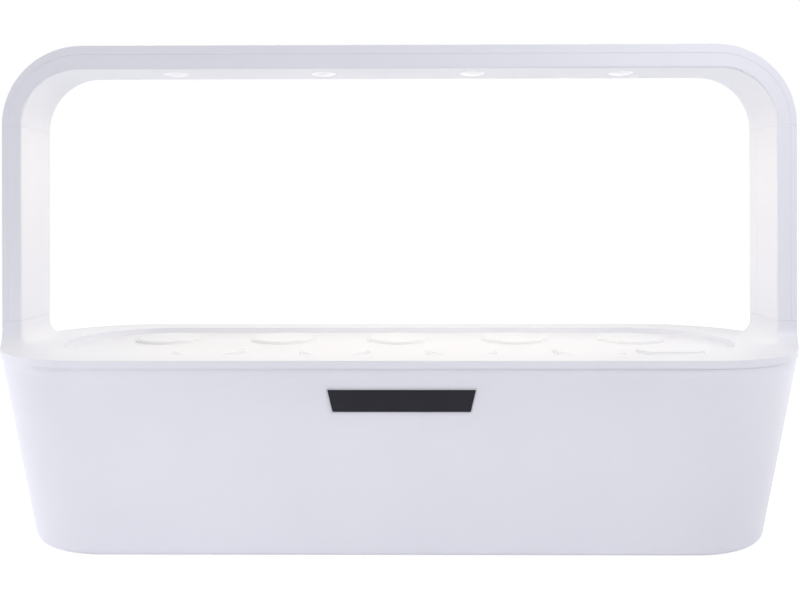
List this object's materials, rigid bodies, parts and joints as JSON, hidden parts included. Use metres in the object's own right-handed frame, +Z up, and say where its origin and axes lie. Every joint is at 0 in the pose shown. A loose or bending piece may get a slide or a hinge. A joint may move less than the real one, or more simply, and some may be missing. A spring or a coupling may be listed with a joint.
{
  "type": "indoor herb planter",
  "caption": "Indoor herb planter: tapered water tank with rounded ends, lid with lift-out plant cups and a water float, and an arched grow lamp on removable arms.",
  "frame": {"origin": "under the middle of the tank, at the level that its rubber pads stand on", "axes": "+X along the length to the side that carries the power lead, +Y to the back with the power inlet, +Z up"},
  "size_m": [0.615, 0.185, 0.3769],
  "materials": {
    "white_plastic": "satin white moulded",
    "cup_plastic": "fine matt white",
    "inner_plastic": "plain moulded",
    "float_plastic": "plain moulded",
    "growing_medium": "crumbly peat sponge",
    "pad_rubber": "matt",
    "black_plastic": "matt",
    "circuit_board": "coated board",
    "light_chip": "phosphor",
    "clear_lens": "frosted clear",
    "lead_sheath": "matt",
    "sink_aluminium": "extruded",
    "screw_steel": "plated"
  },
  "bodies": {
    "tank": {"basin": "white_plastic", "basin_feet": "pad_rubber"},
    "lid": {"lid": "white_plastic", "driver_cover": "inner_plastic", "driver_board": "circuit_board", "driver_screws": "screw_steel", "power_inlet": "black_plastic", "timer_switch": "black_plastic", "lid_lead": "lead_sheath", "foot_socket": "black_plastic", "float_guide": "cup_plastic"},
    "button": {"timer_button": "white_plastic"},
    "float": {"water_float": "float_plastic"},
    "right_arm": {"right_arm": "white_plastic", "right_arm_back_cover": "white_plastic", "right_arm_strip": "white_plastic", "arm_plug": "black_plastic", "arm_lead": "lead_sheath", "arm_socket": "black_plastic"},
    "left_arm": {"left_arm": "white_plastic", "left_arm_strip": "white_plastic"},
    "lamp": {"lamp_housing": "white_plastic", "lamp_cover": "white_plastic", "lamp_plug": "black_plastic", "lamp_lead": "lead_sheath", "light_board": "circuit_board", "light_chips": "light_chip", "heat_sink": "sink_aluminium", "lamp_screws": "screw_steel", "light_lenses": "clear_lens"},
    "fill_cap": {"fill_cap": "cup_plastic"},
    "pod_1": {"cup_1": "cup_plastic", "growing_plug_1": "growing_medium", "cup_cover_1": "cup_plastic"},
    "pod_2": {"cup_2": "cup_plastic", "growing_plug_2": "growing_medium", "cup_cover_2": "cup_plastic"},
    "pod_3": {"cup_3": "cup_plastic", "growing_plug_3": "growing_medium", "cup_cover_3": "cup_plastic"},
    "pod_4": {"cup_4": "cup_plastic", "growing_plug_4": "growing_medium", "cup_cover_4": "cup_plastic"},
    "pod_5": {"cup_5": "cup_plastic", "growing_plug_5": "growing_medium", "cup_cover_5": "cup_plastic"},
    "pod_6": {"cup_6": "cup_plastic", "growing_plug_6": "growing_medium", "cup_cover_6": "cup_plastic"},
    "pod_7": {"cup_7": "cup_plastic", "growing_plug_7": "growing_medium", "cup_cover_7": "cup_plastic"},
    "pod_8": {"cup_8": "cup_plastic", "growing_plug_8": "growing_medium", "cup_cover_8": "cup_plastic"},
    "pod_9": {"cup_9": "cup_plastic", "growing_plug_9": "growing_medium", "cup_cover_9": "cup_plastic"}
  },
  "joints": [
    {"name": "lid_lift", "type": "slide", "parent": "tank", "child": "lid", "axis": [0, 0, 1], "range_m": [0, 0.14]},
    {"name": "timer_press", "type": "slide", "parent": "lid", "child": "button", "axis": [0, -1, 0], "range_m": [0, 0.0009], "stiffness_N_per_m": 400, "springref_m": -0.001},
    {"name": "float_rise", "type": "slide", "parent": "lid", "child": "float", "axis": [0, 0, 1], "range_m": [0, 0.052]},
    {"name": "right_arm_lift", "type": "slide", "parent": "lid", "child": "right_arm", "axis": [0, 0, 1], "range_m": [0, 0.03]},
    {"name": "left_arm_lift", "type": "slide", "parent": "lid", "child": "left_arm", "axis": [0, 0, 1], "range_m": [0, 0.03]},
    {"name": "lamp_lift", "type": "slide", "parent": "right_arm", "child": "lamp", "axis": [0, 0, 1], "range_m": [0, 0.03]},
    {"name": "fill_cap_lift", "type": "slide", "parent": "lid", "child": "fill_cap", "axis": [0, 0, 1], "range_m": [0, 0.05]},
    {"name": "pod_1_lift", "type": "slide", "parent": "lid", "child": "pod_1", "axis": [0, 0, 1], "range_m": [0, 0.07]},
    {"name": "pod_2_lift", "type": "slide", "parent": "lid", "child": "pod_2", "axis": [0, 0, 1], "range_m": [0, 0.07]},
    {"name": "pod_3_lift", "type": "slide", "parent": "lid", "child": "pod_3", "axis": [0, 0, 1], "range_m": [0, 0.07]},
    {"name": "pod_4_lift", "type": "slide", "parent": "lid", "child": "pod_4", "axis": [0, 0, 1], "range_m": [0, 0.07]},
    {"name": "pod_5_lift", "type": "slide", "parent": "lid", "child": "pod_5", "axis": [0, 0, 1], "range_m": [0, 0.07]},
    {"name": "pod_6_lift", "type": "slide", "parent": "lid", "child": "pod_6", "axis": [0, 0, 1], "range_m": [0, 0.07]},
    {"name": "pod_7_lift", "type": "slide", "parent": "lid", "child": "pod_7", "axis": [0, 0, 1], "range_m": [0, 0.07]},
    {"name": "pod_8_lift", "type": "slide", "parent": "lid", "child": "pod_8", "axis": [0, 0, 1], "range_m": [0, 0.07]},
    {"name": "pod_9_lift", "type": "slide", "parent": "lid", "child": "pod_9", "axis": [0, 0, 1], "range_m": [0, 0.07]}
  ],
  "couplings": [
    {"joint": "left_arm_lift", "follows": "right_arm_lift", "ratio": 1}
  ]
}
